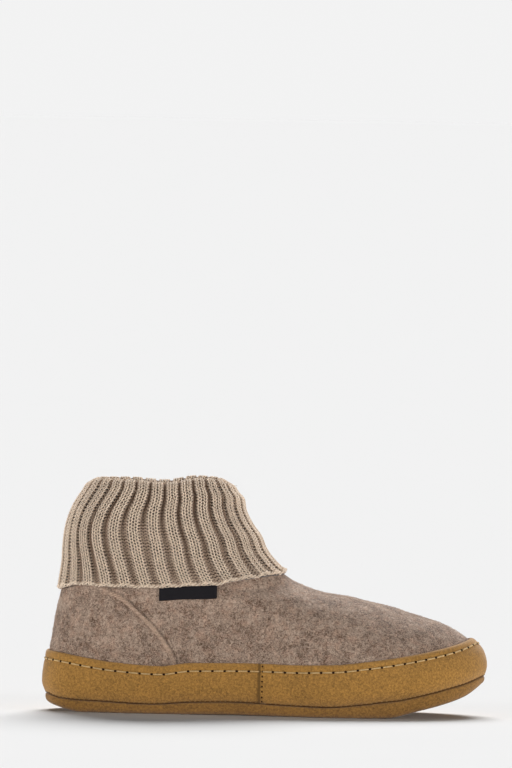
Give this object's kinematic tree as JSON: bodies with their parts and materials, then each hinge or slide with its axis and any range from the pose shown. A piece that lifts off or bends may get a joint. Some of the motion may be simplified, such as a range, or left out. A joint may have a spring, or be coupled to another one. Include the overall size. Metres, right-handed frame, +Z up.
{
  "type": "slipper",
  "caption": "Boot-style felt house slipper for the right foot, with a suede sole and rand and a ribbed knit cuff folded down over the ankle.",
  "frame": {"origin": "centre of the bounding box in X and Y, at the floor that the sole stands on", "axes": "+X to the toe, +Y to the inner side of the foot, +Z up"},
  "size_m": [0.27, 0.1032, 0.143],
  "materials": {
    "wool_felt": "heathered taupe wool felt with short fibres",
    "cuff_knit": "ribbed knit of marled beige wool yarn",
    "rand_suede": "camel suede with short nap, stitched with tan thread",
    "sole_suede": "darker camel suede with a rounded edge",
    "footbed_felt": "beige felt footbed",
    "tab_weave": "bare black woven tape"
  },
  "bodies": {
    "root": {"outsole": "sole_suede", "insole": "footbed_felt", "upper": "wool_felt", "rand": "rand_suede", "knit_cuff": "cuff_knit", "woven_tab": "tab_weave"}
  },
  "joints": []
}
